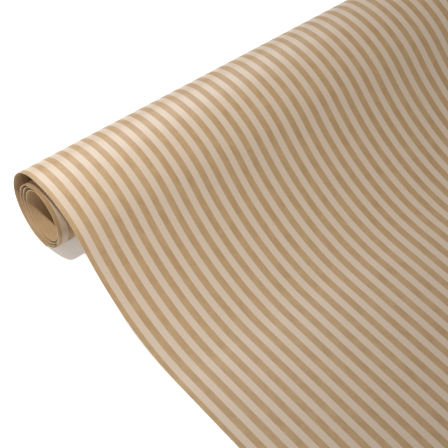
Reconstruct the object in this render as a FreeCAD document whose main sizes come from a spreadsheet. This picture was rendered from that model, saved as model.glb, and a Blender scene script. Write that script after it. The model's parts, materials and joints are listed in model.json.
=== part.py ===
"""Wrapping paper roll, partly drawn off: one web of striped kraft paper, wound loosely without a core.

Frame: +X along the roll, +Z up, the paper drawn off towards -Y, the table at Z = 0.
The origin is the bottom centre of the whole object. Millimetres.

The web is built span by span, from its inner edge outwards: four wound turns, the loose turn round
them, the fall down to the table and the flat sheet. Spans of one body meet face to face.
"""
import FreeCAD, Part
import math
import os

from FreeCAD import Vector

DIMENSIONS = {
    "web_width": 700.0,
    "paper_thickness": 0.4,
    "moving_gap": 0.3,          # between spans of different bodies
    # wound turns, about the hollow's axis
    "hollow_radius": 18.1,      # inside wall of the innermost turn
    "inner_start": 70.0,        # degrees, anticlockwise from +Y
    "turn_step": 0.6,           # rise where the second winding passes over the inner edge
    "turn_gap": 2.0,            # mean rise per turn after that
    "gap_swing": 1.2,           # the gap is this much wider on the slack side
    "slack_side": -35.0,        # degrees: low at the back
    "wound_end": 1350.0,        # degrees: outer edge of the wound turns, at the bottom
    # the loose turn and the fall
    "loose_radius": 29.4,       # centre line of the lower part, which lies on the table
    "crown_radius": 31.0,       # centre line from the back over to the top
    "crown_sweep": 80.0,
    "loose_start": 258.0,       # degrees, just in front of the table contact
    "brow_radius": 66.0,        # convex bend over the front
    "fall_slope": 43.0,         # steepest slope of the sheet
    "fall_straight": 6.0,
    # where the wound turns lie inside the loose turn
    "wound_drop": 4.3,          # spin axis below the loose turn's centre
    "hollow_shift_y": -2.1,     # hollow's axis from the spin axis
    "hollow_shift_z": 2.3,
    # the flat sheet, in front of the fall
    "laid_length": 100.0,
    "drawn_length": 70.0,
    "end_length": 70.0,
}

BSPLINE_STEP = 15.0             # degrees between the points of a spiral edge

doc = FreeCAD.newDocument("wrapping_paper_roll")


def make_sheet():
    """The driving dimensions, one alias per row."""
    sheet = doc.addObject("Spreadsheet::Sheet", "dims")
    for row, (alias, value) in enumerate(DIMENSIONS.items(), start=1):
        sheet.set(f"A{row}", alias)
        sheet.set(f"B{row}", str(value))
        sheet.setAlias(f"B{row}", alias)
    doc.recompute()
    return sheet


dims = make_sheet()


# ---------- places that follow from the driving dimensions ----------

def fall_legs():
    """Centre line from the roll's back to the table, as (radius, sweep) arcs and one straight."""
    crown = (dims.crown_radius, dims.crown_sweep)
    brow = (dims.brow_radius, 90.0 - dims.crown_sweep + dims.fall_slope)
    straight = (0.0, dims.fall_straight)
    return [crown, brow, straight]


def walk(start, heading, legs):
    """End point and heading after the legs. A left turn has a positive sweep, a straight radius 0."""
    point = Vector(*start)
    angle = math.radians(heading)
    for radius, sweep in legs:
        if radius == 0.0:
            point = point + Vector(math.cos(angle), math.sin(angle), 0) * sweep
            continue
        side = math.copysign(radius, sweep)
        centre = point + Vector(-math.sin(angle), math.cos(angle), 0) * side
        angle += math.radians(sweep)
        point = centre + Vector(math.sin(angle), -math.cos(angle), 0) * side
    return point, math.degrees(angle)


def foot_radius():
    """Concave bend that brings the fall level with the table, one loose radius below the centre."""
    point, _ = walk((dims.loose_radius, 0, 0), 90.0, fall_legs())
    return (point.y + dims.loose_radius) / (1.0 - math.cos(math.radians(dims.fall_slope)))


def landing_y():
    """How far in front of the roll's centre the fall meets the table."""
    legs = fall_legs() + [(foot_radius(), -dims.fall_slope)]
    point, _ = walk((dims.loose_radius, 0, 0), 90.0, legs)
    return point.x


FLAT_LENGTH = dims.laid_length + dims.drawn_length + dims.end_length + 2 * dims.moving_gap
BACK_REACH = dims.loose_radius + dims.paper_thickness / 2
ROLL_Y = (FLAT_LENGTH - landing_y() - BACK_REACH) / 2
ROLL_Z = BACK_REACH
LANDING = ROLL_Y + landing_y()
HOLLOW_Y = ROLL_Y + dims.hollow_shift_y
HOLLOW_Z = ROLL_Z - dims.wound_drop + dims.hollow_shift_z


def check_clearance():
    """The wound turns must turn inside the loose turn."""
    step = math.radians(1.0)
    count = int(math.radians(dims.wound_end - dims.inner_start) / step)
    reach = 0.0
    for i in range(count + 1):
        angle = math.radians(dims.inner_start) + i * step
        edge = spiral_point(angle, dims.paper_thickness / 2)
        offset = Vector(dims.hollow_shift_y, dims.hollow_shift_z, 0)
        reach = max(reach, (edge + offset).Length)
    room = dims.loose_radius - dims.paper_thickness / 2 - dims.wound_drop - reach
    print("clearance of the wound turns in the loose turn, mm:", round(room, 3))
    if room < dims.moving_gap:
        raise RuntimeError("the wound turns would rub on the loose turn")


# ---------- sketches ----------

def origin_plane(body, role):
    """One of the body's own origin planes."""
    return next(f for f in body.Origin.OriginFeatures if f.Role == role)


def padded_band(label, edges, y, z):
    """A span of the web: a closed outline in the YZ plane, padded by the web's width."""
    body = doc.addObject("PartDesign::Body", label)
    sketch = body.newObject("Sketcher::SketchObject", label + "_outline")
    sketch.AttachmentSupport = (origin_plane(body, "YZ_Plane"), [""])
    sketch.MapMode = "FlatFace"
    for edge in edges:
        sketch.addGeometry(edge)
    pad = body.newObject("PartDesign::Pad", label + "_pad")
    pad.Profile = sketch
    pad.setExpression("Length", "dims.web_width")
    body.Tip = pad
    body.Placement = FreeCAD.Placement(Vector(0, y, z), FreeCAD.Rotation())
    body.setExpression(".Placement.Base.x", "-dims.web_width / 2")
    return body


def band_legs(start, heading, legs):
    """Outline of a band of the paper's thickness along arcs and straights."""
    half = dims.paper_thickness / 2
    edges = [Part.LineSegment(shifted(start, heading, -half), shifted(start, heading, half))]
    point, angle = start, heading
    for leg in legs:
        edges.append(offset_leg(point, angle, leg, half))
        edges.append(offset_leg(point, angle, leg, -half))
        point, angle = walk(point, angle, [leg])
    edges.append(Part.LineSegment(shifted(point, angle, -half), shifted(point, angle, half)))
    return edges


def shifted(point, angle, offset):
    """The point moved to the right of its heading."""
    a = math.radians(angle)
    return point + Vector(math.sin(a), -math.cos(a), 0) * offset


def offset_leg(point, angle, leg, offset):
    """One edge of a leg, on the right of the heading for a positive offset."""
    radius, sweep = leg
    first = shifted(point, angle, offset)
    last = shifted(*walk(point, angle, [leg]), offset)
    if radius == 0.0:
        return Part.LineSegment(first, last)
    middle = shifted(*walk(point, angle, [(radius, sweep / 2)]), offset)
    return Part.Arc(first, middle, last)


def smooth(x):
    """0 to 1 with level ends."""
    x = min(max(x, 0.0), 1.0)
    return x * x * (3.0 - 2.0 * x)


def spiral_point(angle, offset):
    """A point of the wound turns about the hollow's axis: a true circle up to 360 degrees, then a
    spiral whose gap is widest on the slack side."""
    turns = max(angle / (2 * math.pi) - 1.0, 0.0)
    rise = dims.turn_gap + dims.gap_swing * math.cos(angle - math.radians(dims.slack_side))
    radius = dims.hollow_radius + dims.paper_thickness / 2
    radius += dims.turn_step * smooth(4.0 * turns) + turns * rise
    return Vector(math.cos(angle), math.sin(angle), 0) * (radius + offset)


def spiral_edge(start, end, offset):
    """One edge of a spiral span, as a curve through evenly spaced points."""
    count = max(round((end - start) / BSPLINE_STEP), 2)
    points = []
    for i in range(count + 1):
        angle = math.radians(start + (end - start) * i / count)
        points.append(spiral_point(angle, offset))
    curve = Part.BSplineCurve()
    curve.interpolate(points)
    return curve


def spiral_band(start, end):
    """Outline of a spiral span of the web, angles in degrees."""
    half = dims.paper_thickness / 2
    caps = []
    for degrees in (start, end):
        angle = math.radians(degrees)
        caps.append(Part.LineSegment(spiral_point(angle, -half), spiral_point(angle, half)))
    return [spiral_edge(start, end, half), spiral_edge(start, end, -half)] + caps


# ---------- the wound turns ----------

def make_inner_turn():
    """The innermost turn, a true cylinder wall that ends at the web's inner edge."""
    wall = doc.addObject("Part::Cylinder", "inner_turn_wall")
    wall.setExpression("Radius", "dims.hollow_radius + dims.paper_thickness")
    wall.setExpression("Height", "dims.web_width")
    wall.setExpression("Angle", "360 - dims.inner_start")
    hollow = doc.addObject("Part::Cylinder", "inner_turn_hollow")
    hollow.setExpression("Radius", "dims.hollow_radius")
    hollow.setExpression("Height", "dims.web_width")
    turn = doc.addObject("Part::Cut", "inner_turn")
    turn.Base = wall
    turn.Tool = hollow
    upright_to_x = FreeCAD.Rotation(Vector(0, 1, 0), Vector(0, 0, 1), Vector(1, 0, 0), "ZXY")
    start_turn = FreeCAD.Rotation(Vector(1, 0, 0), dims.inner_start)
    turn.Placement = FreeCAD.Placement(Vector(0, HOLLOW_Y, HOLLOW_Z), start_turn * upright_to_x)
    turn.setExpression(".Placement.Base.x", "-dims.web_width / 2")
    return turn


def make_wound_turns():
    """The three looser windings outside the innermost turn, as spans of equal angle."""
    names = ["third_turn", "second_turn", "first_turn"]
    step = (dims.wound_end - 360.0) / len(names)
    turns = []
    for i, name in enumerate(names):
        outline = spiral_band(360.0 + i * step, 360.0 + (i + 1) * step)
        turns.append(padded_band(name, outline, HOLLOW_Y, HOLLOW_Z))
    return turns


# ---------- the loose turn and the fall to the table ----------

def make_standing_curves():
    """From the table contact round the back, over the top and down on to the table in an S."""
    crown, brow, straight = fall_legs()
    foot = (foot_radius(), -dims.fall_slope)
    spans = {
        "loose_back": [(dims.loose_radius, 360.0 - dims.loose_start)],
        "loose_crown": [crown],
        "brow_curve": [brow],
        "foot_curve": [straight, foot],
    }
    start_angle = math.radians(dims.loose_start)
    point = Vector(math.cos(start_angle), math.sin(start_angle), 0) * dims.loose_radius
    heading = dims.loose_start + 90.0
    curves = []
    for name, legs in spans.items():
        curves.append(padded_band(name, band_legs(point, heading, legs), ROLL_Y, ROLL_Z))
        point, heading = walk(point, heading, legs)
    return curves


# ---------- the flat sheet ----------

def make_flat_span(label, length_alias, front_of_landing):
    """A flat stretch of the sheet on the table, whose rear edge is this far in front of the landing."""
    span = doc.addObject("Part::Box", label)
    span.setExpression("Length", "dims.web_width")
    span.setExpression("Width", "dims." + length_alias)
    span.setExpression("Height", "dims.paper_thickness")
    front_edge = LANDING - front_of_landing - getattr(dims, length_alias)
    span.Placement = FreeCAD.Placement(Vector(0, front_edge, 0), FreeCAD.Rotation())
    span.setExpression(".Placement.Base.x", "-dims.web_width / 2")
    return span


def make_flat_sheet():
    """The laid sheet, the part that is drawn off with it, and the free end that lifts."""
    drawn_from = dims.laid_length + dims.moving_gap
    end_from = drawn_from + dims.drawn_length + dims.moving_gap
    return [
        make_flat_span("laid_sheet", "laid_length", 0.0),
        make_flat_span("drawn_sheet", "drawn_length", drawn_from),
        make_flat_span("free_end", "end_length", end_from),
    ]


# ---------- build, check and write ----------

def write_parts(parts):
    """Check every object, then write one STEP file per sub-part."""
    doc.recompute()
    for obj in doc.Objects:
        if "Invalid" in obj.State or "Error" in obj.State:
            raise RuntimeError(f"{obj.Label} failed: {obj.State}")
    for part in parts:
        if part.Shape.isNull() or not part.Shape.isValid():
            raise RuntimeError(f"{part.Label} has no valid shape")
    os.makedirs("parts", exist_ok=True)
    for part in parts:
        part.Shape.exportStep(f"parts/{part.Label}.step")
        box = part.Shape.BoundBox
        print(f"{part.Label}: {part.Shape.Volume:.0f} mm3, y {box.YMin:.2f} to {box.YMax:.2f}, "
              f"z {box.ZMin:.2f} to {box.ZMax:.2f}")


check_clearance()
sub_parts = [make_inner_turn()]
sub_parts += make_wound_turns()
sub_parts += make_standing_curves()
sub_parts += make_flat_sheet()
write_parts(sub_parts)
print("roll centre y, z:", round(ROLL_Y, 3), round(ROLL_Z, 3))
print("hollow axis y, z:", round(HOLLOW_Y, 3), round(HOLLOW_Z, 3))
print("landing y:", round(LANDING, 3), "foot radius:", round(foot_radius(), 3))
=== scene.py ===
"""Looks of the wrapping paper roll: one web of kraft paper with off-white stripes, as three sheets.

The wound turns ride on the roll, the drawn web runs from under the roll over its front to the
table, and the free edge ends the sheet. Metres, in the frame of the CAD model.
"""

import json
import math

import bpy
import numpy as np
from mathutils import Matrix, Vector


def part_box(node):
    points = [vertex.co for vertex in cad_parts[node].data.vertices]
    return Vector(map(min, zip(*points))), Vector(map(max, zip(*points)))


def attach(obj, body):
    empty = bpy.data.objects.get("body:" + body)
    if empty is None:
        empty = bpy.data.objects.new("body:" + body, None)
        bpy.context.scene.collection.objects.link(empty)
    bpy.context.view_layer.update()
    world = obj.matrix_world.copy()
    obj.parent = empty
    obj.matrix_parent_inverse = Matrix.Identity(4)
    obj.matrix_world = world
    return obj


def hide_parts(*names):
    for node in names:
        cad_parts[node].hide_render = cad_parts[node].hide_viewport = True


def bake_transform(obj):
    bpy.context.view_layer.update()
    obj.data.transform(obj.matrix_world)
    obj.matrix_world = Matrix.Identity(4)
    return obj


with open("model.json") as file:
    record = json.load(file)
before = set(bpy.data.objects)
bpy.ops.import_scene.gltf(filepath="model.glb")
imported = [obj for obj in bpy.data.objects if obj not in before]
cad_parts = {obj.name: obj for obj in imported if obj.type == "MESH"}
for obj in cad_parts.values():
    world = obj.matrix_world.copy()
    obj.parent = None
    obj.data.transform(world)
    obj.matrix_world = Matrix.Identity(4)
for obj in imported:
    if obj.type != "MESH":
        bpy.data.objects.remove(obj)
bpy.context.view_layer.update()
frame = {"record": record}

# ---------- sizes ----------

PAPER = 0.0004                # thickness
STRIPE_REPEAT = 0.010         # one kraft and one off-white stripe
KRAFT_SHARE = 0.487           # of the repeat
STRIPE_TRIM = 0.0015          # the left edge is cut this far into the first kraft stripe

# The path of the web is the CAD model's. Its angles are in degrees.
INNER_START = 70.0            # where the wound web begins
WOUND_END = 1350.0            # and where it ends
TURN_STEP = 0.0006            # step outwards after the inner circle
STEP_TURNS = 0.25             # share of a turn that the step takes
TURN_GAP = 0.0020             # mean growth in radius for each turn
GAP_SWING = 0.0012            # how much more it grows towards SLACK_SIDE
SLACK_SIDE = -35.0
MEAN_GROWTH = 0.003           # rough mean of all that growth, which only sets the row count
LOOSE_START = 258.0           # where the loose turn starts, under the roll
CROWN_RADIUS = 0.0310
CROWN_SWEEP = 80.0
BROW_RADIUS = 0.0660
FALL_SLOPE = 43.0
FALL_STRAIGHT = 0.0060

STATION = 0.0010              # spacing of mesh rows along the web
COLUMN = 0.010                # and of columns across it
FEWEST_ROWS = 2               # on the shortest stretch
WANDER = 0.0004               # how far the wound edges wander inwards
WANDER_RATE = 9.0             # radians of that wander for each turn
RECESS = 0.0005               # each wound turn's edges stand this far inside the next one's
SETTLE = 0.0018               # the inner turns sink this far towards the table, under their weight
SETTLE_SIDE = -105.0          # degrees, the way they sink
CURL_LENGTH = 0.055           # the free edge keeps a little curl
CURL_HEIGHT = 0.0050
CURL_POWER = 2.5              # how late the curl rises

STRAIGHT = 0.0                # radius that stands for a straight stretch
PRINTED_SLOT, BACK_SLOT, CUT_SLOT = range(3)

# ---------- places, read from the frame ----------

mounts = {m["name"]: m for m in frame["record"]["mounts"]}
HOLLOW = Vector(mounts["hollow"]["pos_m"])
HOLLOW_RADIUS = mounts["hollow"]["dims"]["r_mm"] / 1000
back_low, back_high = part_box("loose_back")
ROLL_Z = back_high.z
ROLL_Y = back_high.y - ROLL_Z
LOOSE_RADIUS = ROLL_Z - PAPER / 2
LEFT, RIGHT = back_low.x, back_high.x
LAID_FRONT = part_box("laid_sheet")[0].y
DRAWN_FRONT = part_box("drawn_sheet")[0].y
SHEET_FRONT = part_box("free_end")[0].y
SEAM = (LAID_FRONT + DRAWN_FRONT) / 2


# ---------- the web's centre line, as rows of y, z and the printed side's direction ----------

def smooth(x):
    """From 0 to 1 with level ends."""
    x = np.clip(x, 0.0, 1.0)
    return x * x * (3.0 - 2.0 * x)


def spiral_line():
    """The wound turns from the inner edge outwards: a true circle first, then a widening spiral."""
    mean_radius = HOLLOW_RADIUS + MEAN_GROWTH
    count = int(math.radians(WOUND_END - INNER_START) * mean_radius / STATION)
    angle = np.radians(np.linspace(INNER_START, WOUND_END, count))
    turns = np.maximum(angle / (2 * math.pi) - 1.0, 0.0)
    rise = TURN_GAP + GAP_SWING * np.cos(angle - math.radians(SLACK_SIDE))
    sunk = SETTLE * (1.0 - (turns / turns[-1]) ** 2)
    sunk *= np.maximum(np.cos(angle - math.radians(SETTLE_SIDE)), 0.0) ** 2
    step = TURN_STEP * smooth(turns / STEP_TURNS)
    radius = HOLLOW_RADIUS + PAPER / 2 + step + turns * rise + sunk
    y = HOLLOW.y + radius * np.cos(angle)
    z = HOLLOW.z + radius * np.sin(angle)
    return line_with_sides(y, z)


def line_with_sides(y, z):
    """Rows of y, z, side y, side z: the side is on the right of the way the line runs."""
    dy, dz = np.gradient(y), np.gradient(z)
    size = np.hypot(dy, dz)
    return np.stack([y, z, dz / size, -dy / size], axis=1)


def row_count(length):
    return max(int(length / STATION), FEWEST_ROWS)


def arc_points(start, heading, radius, sweep):
    """Points after start along an arc of sweep degrees or a straight of length sweep, and the
    heading at its end."""
    if radius == STRAIGHT:
        step = np.linspace(0, sweep, row_count(sweep) + 1)[1:]
        points = np.stack([start[0] + step * math.cos(heading),
                           start[1] + step * math.sin(heading)], axis=1)
        return points, heading
    turn = math.radians(sweep)
    side = math.copysign(radius, turn)
    centre = (start[0] - side * math.sin(heading), start[1] + side * math.cos(heading))
    angle = heading + np.linspace(0, turn, row_count(abs(turn) * radius) + 1)[1:]
    points = np.stack([centre[0] + side * np.sin(angle), centre[1] - side * np.cos(angle)], axis=1)
    return points, heading + turn


def standing_line(y_end):
    """From under the roll round its back, over the front and flat along the table to y_end."""
    begin = math.radians(LOOSE_START)
    points = [np.array([[ROLL_Y + LOOSE_RADIUS * math.cos(begin),
                         ROLL_Z + LOOSE_RADIUS * math.sin(begin)]])]
    heading = begin + math.pi / 2
    legs = [(LOOSE_RADIUS, 360.0 - LOOSE_START), (CROWN_RADIUS, CROWN_SWEEP),
            (BROW_RADIUS, 90.0 - CROWN_SWEEP + FALL_SLOPE), (STRAIGHT, FALL_STRAIGHT)]
    for radius, sweep in legs:
        leg, heading = arc_points(points[-1][-1], heading, radius, sweep)
        points.append(leg)
    drop = points[-1][-1][1] - PAPER / 2
    foot = drop / (1.0 - math.cos(math.radians(FALL_SLOPE)))
    points.append(arc_points(points[-1][-1], heading, foot, -FALL_SLOPE)[0])
    flat = points[-1][-1][0] - y_end
    points.append(arc_points(points[-1][-1], math.pi, STRAIGHT, flat)[0])
    line = np.concatenate(points)
    return line_with_sides(line[:, 0], line[:, 1])


def free_line():
    """The last of the sheet, whose front edge curls up a little."""
    length = SEAM - SHEET_FRONT
    y = SEAM - np.linspace(0, length, int(length / STATION) + 1)
    into_curl = np.clip((SHEET_FRONT + CURL_LENGTH - y) / CURL_LENGTH, 0, 1)
    z = PAPER / 2 + CURL_HEIGHT * into_curl ** CURL_POWER
    return line_with_sides(y, z)


# ---------- meshes ----------

def web_points(line, columns, inset):
    """Both skins of the paper, the printed one first, as rows of points across the web."""
    left = LEFT + inset * np.ones(len(line))
    right = RIGHT - inset * np.ones(len(line))
    across = np.linspace(0, 1, columns)
    x = left[:, None] + (right - left)[:, None] * across[None, :]
    skins = []
    for side in (PAPER / 2, -PAPER / 2):
        y = np.repeat((line[:, 0] + side * line[:, 2])[:, None], columns, axis=1)
        z = np.repeat((line[:, 1] + side * line[:, 3])[:, None], columns, axis=1)
        skins.append(np.stack([x, y, z], axis=-1).reshape(-1, 3))
    return np.concatenate(skins)


def web_faces(rows, columns):
    """Faces of both skins and of the four cut edges, all outwards, and each one's material."""
    def at(skin, row, column):
        return skin * rows * columns + row * columns + column

    faces, slots = [], []
    for i in range(rows - 1):
        for j in range(columns - 1):
            faces.append((at(0, i, j), at(0, i + 1, j), at(0, i + 1, j + 1), at(0, i, j + 1)))
            faces.append((at(1, i, j), at(1, i, j + 1), at(1, i + 1, j + 1), at(1, i + 1, j)))
            slots += [PRINTED_SLOT, BACK_SLOT]
    for i in range(rows - 1):
        for j in (0, columns - 1):
            ring = [at(0, i, j), at(1, i, j), at(1, i + 1, j), at(0, i + 1, j)]
            faces.append(tuple(ring if j == 0 else reversed(ring)))
            slots.append(CUT_SLOT)
    for j in range(columns - 1):
        for i in (0, rows - 1):
            ring = [at(0, i, j), at(0, i, j + 1), at(1, i, j + 1), at(1, i, j)]
            faces.append(tuple(ring if i == 0 else reversed(ring)))
            slots.append(CUT_SLOT)
    return faces, slots


def map_web(mesh, points, run, columns):
    """The UV map: metres across the web from its left edge, and metres along it."""
    web = mesh.uv_layers.new(name="web")
    corner = np.zeros(len(mesh.loops), np.int32)
    mesh.loops.foreach_get("vertex_index", corner)
    place = np.stack([points[:, 0] - LEFT, np.tile(np.repeat(run, columns), 2)], axis=1)
    web.data.foreach_set("uv", place[corner].astype(np.float32).ravel())


def web_piece(name, line, materials, first_row=0.0, inset=0.0):
    """A closed sheet of paper along the line, and the length of web at its last row.
    first_row is the length of web before the line, and inset moves each row's ends inwards."""
    rows = len(line)
    columns = int(round((RIGHT - LEFT) / COLUMN)) + 1
    run = np.concatenate([[0], np.cumsum(np.hypot(*np.diff(line[:, :2], axis=0).T))]) + first_row
    points = web_points(line, columns, inset)
    faces, slots = web_faces(rows, columns)
    mesh = bpy.data.meshes.new(name)
    mesh.from_pydata(points.tolist(), [], faces)
    for material in materials:
        mesh.materials.append(material)
    mesh.polygons.foreach_set("material_index", slots)
    mesh.polygons.foreach_set("use_smooth", [True] * len(faces))
    map_web(mesh, points, run, columns)
    mark_rim(mesh, rows, columns)
    mesh.update()
    piece = bpy.data.objects.new(name, mesh)
    bpy.context.scene.collection.objects.link(piece)
    return piece, run[-1]


def mark_rim(mesh, rows, columns):
    """The edges between a face and the cut edge stay crisp."""
    ends = np.zeros(len(mesh.edges) * 2, np.int32)
    mesh.edges.foreach_get("vertices", ends)
    ends = ends.reshape(-1, 2) % (rows * columns)
    row, column = ends // columns, ends % columns
    on_rim = ((row == 0) | (row == rows - 1) | (column == 0) | (column == columns - 1)).all(axis=1)
    same = ((row[:, 0] == row[:, 1]) & np.isin(row[:, 0], (0, rows - 1))
            | (column[:, 0] == column[:, 1]) & np.isin(column[:, 0], (0, columns - 1)))
    mesh.edges.foreach_set("use_edge_sharp", on_rim & same)


# ---------- materials ----------

class Nodes:
    """Short calls that add and join shader nodes."""

    def __init__(self, name):
        self.material = bpy.data.materials.new(name)
        self.material.use_nodes = True
        self.tree = self.material.node_tree
        self.shader = self.tree.nodes["Principled BSDF"]

    def new(self, kind, inputs=(), **settings):
        """A node with the given settings, and its inputs set or joined."""
        node = self.tree.nodes.new(kind)
        for key, value in settings.items():
            setattr(node, key, value)
        for key, value in dict(inputs).items():
            self.put(node.inputs[key], value)
        return node

    def put(self, socket, value):
        """Joins the socket to another one, or sets it to a plain value."""
        if isinstance(value, bpy.types.NodeSocket):
            self.tree.links.new(value, socket)
        else:
            socket.default_value = value

    def math(self, operation, a, b=0.0, clamp=False):
        node = self.new("ShaderNodeMath", {0: a, 1: b}, operation=operation, use_clamp=clamp)
        return node.outputs[0]

    def ramp(self, value, low, high, to_low=0.0, to_high=1.0):
        """value from low..high to to_low..to_high, smoothly."""
        node = self.new("ShaderNodeMapRange", {"Value": value, "From Min": low, "From Max": high,
                                               "To Min": to_low, "To Max": to_high},
                        interpolation_type="SMOOTHSTEP")
        return node.outputs["Result"]

    def noise(self, vector, scale, stretch=(1, 1, 1), detail=2.0, roughness=0.5):
        """Noise from 0 to 1 with about scale features per metre, squeezed along each axis."""
        mapping = self.new("ShaderNodeMapping", {"Vector": vector,
                                                 "Scale": [scale * k for k in stretch]})
        node = self.new("ShaderNodeTexNoise", {"Vector": mapping.outputs[0], "Scale": 1.0,
                                               "Detail": detail, "Roughness": roughness})
        return node.outputs["Fac"]

    def mix(self, factor, a, b):
        """Colour a where factor is 0 and colour b where it is 1."""
        node = self.new("ShaderNodeMix", data_type="RGBA")
        for socket, value in ((node.inputs[0], factor), (node.inputs[6], a), (node.inputs[7], b)):
            self.put(socket, value)
        return node.outputs[2]


def colour(red, green, blue):
    """An sRGB colour of 0 to 255 as linear RGBA."""
    linear = [((c / 255 + 0.055) / 1.055) ** 2.4 for c in (red, green, blue)]
    return (*linear, 1.0)


KRAFT = colour(172, 142, 102)
KRAFT_DARK = colour(159, 128, 88)
KRAFT_FIBRE = colour(126, 96, 60)
KRAFT_PALE = colour(188, 164, 130)
OFF_WHITE = colour(193, 174, 153)
OFF_WHITE_THIN = colour(187, 166, 142)
BACK = colour(184, 152, 114)
BACK_DARK = colour(174, 142, 104)
CUT = colour(214, 192, 158)

# Features per metre of each mark in the paper and the ink.
CLOUD_SCALE = 140.0
FLECK_SCALE = 900.0
FIBRE_SCALE = 2600.0
INK_SCALE = 1300.0
RAGGED_SCALE = 1500.0
TORN_SCALE = 5000.0
STAIN_SCALE = 300.0
TABLE_SCALE = 60.0

INK_STRAY = 0.00018           # how far the edge of the ink strays
INK_EDGE = 0.008              # half the width of that edge, as a share of the repeat
INK_SHINE = 0.06              # how much less rough the ink is than the kraft
INK_RELIEF = 0.25             # bump height of the ink, as a share of the paper's
BUMP_STRENGTH = 0.35
PRINTED_BUMP = 0.00006        # bump depth of each surface
BACK_BUMP = 0.00008
CUT_BUMP = 0.00010
PAPER_SPECULAR = 0.50
TABLE_SPECULAR = 0.1
TABLE_ROUGHNESS = 0.9
TABLE_GLOW = 0.25             # light of its own, which keeps the table white in the shade
WHITE = (1, 1, 1, 1)


def paper_tone(n, web, base, dark):
    """Cloudy brown pulp with long fibres and fine flecks: colour, fibre pattern, bump height."""
    cloud = n.noise(web, CLOUD_SCALE, (1, 0.6, 1), detail=5.0, roughness=0.65)
    tone = n.mix(n.ramp(cloud, 0.30, 0.75), base, dark)
    fibre = n.noise(web, FIBRE_SCALE, (1.0, 0.22, 1), detail=3.0, roughness=0.6)
    fleck = n.noise(web, FLECK_SCALE, (1.0, 0.5, 1), detail=2.0)
    tone = n.mix(n.ramp(fibre, 0.58, 0.76, to_high=0.30), tone, KRAFT_FIBRE)
    tone = n.mix(n.ramp(fibre, 0.42, 0.26, to_high=0.25), tone, KRAFT_PALE)
    tone = n.mix(n.ramp(fleck, 0.68, 0.80, to_high=0.25), tone, KRAFT_FIBRE)
    height = n.math("ADD", n.math("MULTIPLY", fibre, 0.6), n.math("MULTIPLY", fleck, 0.4))
    return tone, fibre, height


def finish_paper(n, tone, roughness, height, depth):
    """Joins the colour, roughness and bump to the shader. Returns the material."""
    bump = n.new("ShaderNodeBump", {"Strength": BUMP_STRENGTH, "Distance": depth, "Height": height})
    n.put(n.shader.inputs["Base Color"], tone)
    n.put(n.shader.inputs["Roughness"], roughness)
    n.put(n.shader.inputs["Normal"], bump.outputs[0])
    n.shader.inputs["Specular IOR Level"].default_value = PAPER_SPECULAR
    return n.material


def printed_material():
    """Off-white ink stripes on kraft, running along the web from a kraft stripe at the left edge."""
    n = Nodes("printed_stripes")
    web = n.new("ShaderNodeUVMap", uv_map="web").outputs[0]
    tone, fibre, height = paper_tone(n, web, KRAFT, KRAFT_DARK)
    across = n.new("ShaderNodeSeparateXYZ", {0: web}).outputs[0]
    wavering = n.math("SUBTRACT", n.noise(web, RAGGED_SCALE), 0.5)
    ragged = n.math("MULTIPLY", wavering, INK_STRAY)
    place = n.math("ADD", n.math("ADD", across, ragged), STRIPE_TRIM)
    phase = n.math("FRACT", n.math("DIVIDE", place, STRIPE_REPEAT))
    rising = n.ramp(phase, KRAFT_SHARE - INK_EDGE, KRAFT_SHARE + INK_EDGE)
    falling = n.ramp(phase, 1.0 - 2 * INK_EDGE, 1.0)
    ink = n.math("SUBTRACT", rising, falling, clamp=True)
    patches = n.noise(web, INK_SCALE, (1, 0.4, 1), detail=3.0)
    thin = n.ramp(patches, 0.45, 0.75, to_high=0.55)
    ink_tone = n.mix(thin, OFF_WHITE, OFF_WHITE_THIN)
    ink_tone = n.mix(n.ramp(fibre, 0.62, 0.80, to_high=0.22), ink_tone, KRAFT)
    tone = n.mix(ink, tone, ink_tone)
    matt = n.ramp(fibre, 0.3, 0.7, 0.42, 0.52)
    roughness = n.math("SUBTRACT", matt, n.math("MULTIPLY", ink, INK_SHINE))
    height = n.math("ADD", height, n.math("MULTIPLY", ink, INK_RELIEF))
    return finish_paper(n, tone, roughness, height, PRINTED_BUMP)


def back_material():
    """The unprinted side of the kraft."""
    n = Nodes("kraft_back")
    web = n.new("ShaderNodeUVMap", uv_map="web").outputs[0]
    tone, fibre, height = paper_tone(n, web, BACK, BACK_DARK)
    roughness = n.ramp(fibre, 0.3, 0.7, 0.78, 0.9)
    return finish_paper(n, tone, roughness, height, BACK_BUMP)


def cut_material():
    """The paler cut edge, with torn fibre ends."""
    n = Nodes("cut_edge")
    web = n.new("ShaderNodeUVMap", uv_map="web").outputs[0]
    place = n.new("ShaderNodeTexCoord").outputs["Object"]
    fibre = n.noise(place, TORN_SCALE, detail=3.0)
    tone = n.mix(n.ramp(fibre, 0.4, 0.7), CUT, KRAFT_DARK)
    stain = n.ramp(n.noise(web, STAIN_SCALE), 0.5, 0.8, to_high=0.3)
    tone = n.mix(stain, tone, KRAFT_FIBRE)
    roughness = n.ramp(fibre, 0.3, 0.7, 0.8, 0.95)
    return finish_paper(n, tone, roughness, fibre, CUT_BUMP)


def floor_material():
    """The plain white table."""
    n = Nodes("table_white")
    place = n.new("ShaderNodeTexCoord").outputs["Object"]
    grain = n.noise(place, TABLE_SCALE, detail=3.0)
    n.put(n.shader.inputs["Base Color"], n.mix(grain, colour(250, 250, 250), colour(246, 246, 247)))
    n.shader.inputs["Roughness"].default_value = TABLE_ROUGHNESS
    n.shader.inputs["Specular IOR Level"].default_value = TABLE_SPECULAR
    n.shader.inputs["Emission Color"].default_value = WHITE
    n.shader.inputs["Emission Strength"].default_value = TABLE_GLOW
    return n.material


# ---------- the paper ----------

def wound_inset(rows):
    """How far each row of the wound web stands in from the edge, deeper towards the inside."""
    turns_in = (WOUND_END - INNER_START) / 360.0 * np.linspace(1, 0, rows)
    return RECESS * turns_in + WANDER * (0.5 + 0.5 * np.sin(turns_in * WANDER_RATE))


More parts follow.
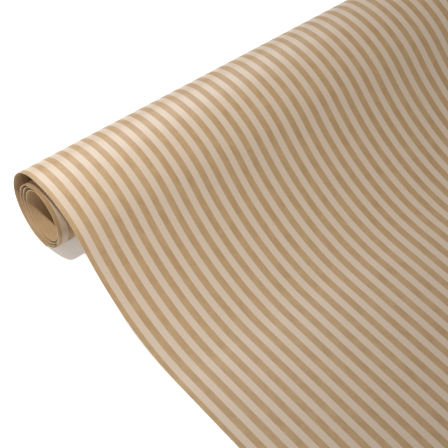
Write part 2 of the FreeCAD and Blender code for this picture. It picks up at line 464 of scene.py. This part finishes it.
def make_paper():
    """The three sheets that stand for the whole web, in order along it."""
    materials = [printed_material(), back_material(), cut_material()]

    spiral = spiral_line()
    wound, wound_length = web_piece("wound_paper", spiral, materials,
                                    inset=wound_inset(len(spiral)))
    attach(wound, "wound_roll")
    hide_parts("inner_turn", "third_turn", "second_turn", "first_turn")

    drawn, drawn_end = web_piece("drawn_paper", standing_line(SEAM), materials, wound_length)
    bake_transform(drawn)
    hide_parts("loose_back", "loose_crown", "brow_curve", "foot_curve",
                "laid_sheet", "drawn_sheet")

    free, free_end = web_piece("free_paper", free_line(), materials, drawn_end)
    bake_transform(free)
    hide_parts("free_end")


# ---------- table, light and camera ----------

TABLE_REACH = 4.0             # from the middle to each side
TABLE_DROP = 0.0002           # the top lies this far under the paper
WORLD_LIGHT = 0.40
KEY_LIGHT = 2.95              # watts
SHEEN_LIGHT = 2.7
POOL_LIGHT = 1.5
FILL_LIGHT = 0.95             # watts per square metre


def make_floor():
    """The table top, which is stage and not part of the object."""
    mesh = bpy.data.meshes.new("table_top")
    reach = TABLE_REACH
    corners = [(-reach, -reach, 0), (reach, -reach, 0), (reach, reach, 0), (-reach, reach, 0)]
    mesh.from_pydata(corners, [], [(0, 1, 2, 3)])
    mesh.materials.append(floor_material())
    floor = bpy.data.objects.new("table_top", mesh)
    floor.location.z = -TABLE_DROP
    bpy.context.scene.collection.objects.link(floor)


def add_light(kind, name, place, target, energy, **settings):
    """A light at place that points at target. Energy is watts, or watts per square metre for a sun."""
    light = bpy.data.lights.new(name, kind)
    light.energy = energy
    for key, value in settings.items():
        setattr(light, key, value)
    lamp = bpy.data.objects.new(name, light)
    lamp.location = place
    lamp.rotation_euler = (Vector(target) - Vector(place)).to_track_quat("-Z", "Y").to_euler()
    lamp.visible_camera = False
    bpy.context.scene.collection.objects.link(lamp)


def light_scene():
    """White all round, with a small key above the left end, a broad sheen from behind the roll,
    a low fill from the front and a soft pool over the fall."""
    world = bpy.data.worlds.new("studio")
    world.use_nodes = True
    world.node_tree.nodes["Background"].inputs["Color"].default_value = WHITE
    world.node_tree.nodes["Background"].inputs["Strength"].default_value = WORLD_LIGHT
    bpy.context.scene.world = world
    key_place = (LEFT - 0.13, ROLL_Y + 0.03, 0.50)
    key_target = (LEFT - 0.40, ROLL_Y + 0.20, 0.03)
    add_light("AREA", "key", key_place, key_target, KEY_LIGHT, shape="DISK", size=0.025)
    sheen_place = (0.05, ROLL_Y + 0.50, 0.55)
    crest = (-0.18, ROLL_Y, 2 * ROLL_Z)
    add_light("AREA", "sheen", sheen_place, crest, SHEEN_LIGHT, shape="DISK", size=0.45)
    fill_place = (-0.10, -1.15, 0.32)
    fill_target = (-0.20, 0.12, 0.03)
    add_light("SUN", "front_fill", fill_place, fill_target, FILL_LIGHT, angle=0.5)
    pool_place = (-0.19, 0.10, 0.62)
    pool_target = (-0.19, 0.10, 0.0)
    add_light("SPOT", "pool", pool_place, pool_target, POOL_LIGHT,
              spot_size=math.radians(38), spot_blend=1.0, shadow_soft_size=0.08)


def place_camera():
    """Above the left front of the roll, looking along and down over it."""
    azimuth, elevation = math.radians(38.45), math.radians(47.12)
    aim = Vector((LEFT + 0.1090, ROLL_Y - 0.0649, 0.0))
    distance = 1.0453
    forward = Vector((math.sin(azimuth) * math.cos(elevation),
                      math.cos(azimuth) * math.cos(elevation), -math.sin(elevation)))
    data = bpy.data.cameras.new("camera")
    data.sensor_width = 36.0
    data.lens = 120.5
    data.clip_start = 0.05
    camera = bpy.data.objects.new("camera", data)
    camera.location = aim - forward * distance
    camera.rotation_euler = forward.to_track_quat("-Z", "Y").to_euler()
    bpy.context.scene.collection.objects.link(camera)
    bpy.context.scene.camera = camera


bpy.context.scene.view_settings.view_transform = "Standard"
place_camera()
make_paper()
make_floor()
light_scene()
